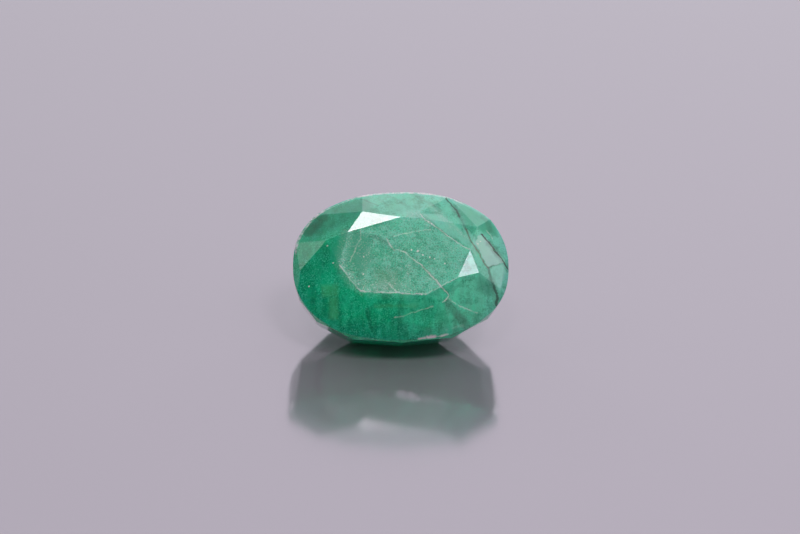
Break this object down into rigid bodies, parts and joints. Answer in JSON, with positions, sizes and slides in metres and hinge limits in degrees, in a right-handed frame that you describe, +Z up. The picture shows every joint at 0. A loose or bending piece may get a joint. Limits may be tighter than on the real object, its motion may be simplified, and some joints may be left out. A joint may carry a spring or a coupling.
{
  "type": "oval faceted emerald gemstone",
  "caption": "Cut and polished oval gemstone with a low crown, a deep pavilion and a rounded belly, lying tilted on a pavilion facet.",
  "frame": {"origin": "centre of the stone's box, on the surface that the stone lies on", "axes": "+X along the stone's length, -Y the way its table leans, +Z up"},
  "size_m": [0.014, 0.0094, 0.0093],
  "materials": {
    "emerald": "polished, cloudy green, with worn facet edges"
  },
  "bodies": {
    "root": {"emerald": "emerald"}
  },
  "joints": []
}
